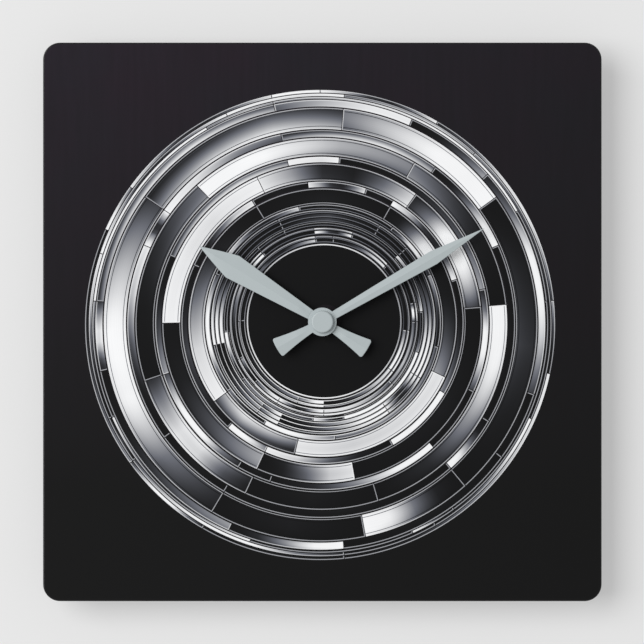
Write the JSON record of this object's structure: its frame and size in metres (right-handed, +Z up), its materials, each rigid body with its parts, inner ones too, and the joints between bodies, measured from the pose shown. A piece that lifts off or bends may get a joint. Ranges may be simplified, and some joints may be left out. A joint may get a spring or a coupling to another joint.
{
  "type": "wall clock",
  "caption": "Square black wall clock with rounded corners, a ring-pattern printed face, lance hands, a quartz movement and a keyhole hanger.",
  "frame": {"origin": "on the hand axis, in the plane of the movement case's back, which lies on the wall", "axes": "+Y into the wall, along the hand axis; +Z up; the dial faces -Y and +X is to the right of a viewer"},
  "size_m": [0.273, 0.0306, 0.273],
  "materials": {
    "panel": "polished black acrylic",
    "print": "satin printed vinyl",
    "hand_paint": "matte light grey-green paint on aluminium",
    "brass": "turned, bright",
    "steel": "zinc plated",
    "spring_steel": "nickel plated",
    "rubber": "moulded, matt",
    "case_plastic": "moulded, fine texture",
    "gear_plastic": "natural acetal",
    "gear_plastic_dark": "dark acetal",
    "magnet": "sintered magnet",
    "copper": "enamelled copper wire",
    "core_steel": "stamped electrical steel",
    "board": "resist-coated laminate",
    "epoxy": "cast epoxy",
    "bobbin": "moulded nylon",
    "cell_can": "nickel-plated steel",
    "cell_core": "pressed powder",
    "cell_sleeve": "shrunk film"
  },
  "bodies": {
    "clock": {"face_panel": "panel", "printed_film": "print", "rubber_gasket": "rubber", "front_washer": "brass", "hex_nut": "brass", "threaded_bushing": "brass", "hanger_plate": "steel", "train_plate": "bobbin", "stator_plate": "core_steel", "coil_core": "core_steel", "coil_bobbin": "bobbin", "coil_winding": "copper", "stator_screws": "steel", "circuit_board": "board", "board_screws": "steel", "quartz_crystal": "steel", "control_chip": "epoxy", "coil_leads": "copper", "positive_contact": "spring_steel", "negative_contact": "spring_steel", "negative_spring": "spring_steel", "case_front": "case_plastic", "case_rear": "case_plastic"},
    "minute": {"minute_arbor": "brass", "centre_wheel": "gear_plastic", "clutch_spring": "spring_steel", "minute_hand": "hand_paint", "hand_cap": "hand_paint"},
    "hour": {"hour_wheel": "gear_plastic_dark", "hour_hand_collet": "brass", "hour_hand": "hand_paint"},
    "motion": {"motion_wheel": "gear_plastic"},
    "middle": {"middle_wheel": "gear_plastic"},
    "rotor": {"rotor_pinion": "gear_plastic_dark", "rotor_magnet": "magnet"},
    "knob": {"setting_knob": "gear_plastic_dark"},
    "battery": {"battery_can": "cell_can", "battery_core": "cell_core", "battery_sleeve": "cell_sleeve"}
  },
  "joints": [
    {"name": "minute_turn", "type": "hinge", "parent": "clock", "child": "minute", "pos_m": [0, -0.01, 0], "axis": [0, 1, 0], "continuous": true},
    {"name": "hour_turn", "type": "hinge", "parent": "clock", "child": "hour", "pos_m": [0, -0.01, 0], "axis": [0, 1, 0], "continuous": true},
    {"name": "motion_turn", "type": "hinge", "parent": "clock", "child": "motion", "pos_m": [0.01039, -0.01, 0.006], "axis": [0, 1, 0], "continuous": true},
    {"name": "middle_turn", "type": "hinge", "parent": "clock", "child": "middle", "pos_m": [-0.00998, -0.01, 0.00576], "axis": [0, 1, 0], "continuous": true},
    {"name": "rotor_turn", "type": "hinge", "parent": "clock", "child": "rotor", "pos_m": [-0.00734, -0.01, 0.01561], "axis": [0, 1, 0], "continuous": true},
    {"name": "knob_turn", "type": "hinge", "parent": "clock", "child": "knob", "pos_m": [0.01603, -0.01, 0.0166], "axis": [0, 1, 0], "continuous": true},
    {"name": "battery_slide", "type": "slide", "parent": "clock", "child": "battery", "axis": [0, 1, 0], "range_m": [0, 0.02]}
  ],
  "couplings": [
    {"joint": "hour_turn", "follows": "minute_turn", "ratio": 0.083333},
    {"joint": "motion_turn", "follows": "minute_turn", "ratio": -0.33333},
    {"joint": "knob_turn", "follows": "minute_turn", "ratio": 1},
    {"joint": "middle_turn", "follows": "minute_turn", "ratio": -8},
    {"joint": "rotor_turn", "follows": "minute_turn", "ratio": 60}
  ]
}
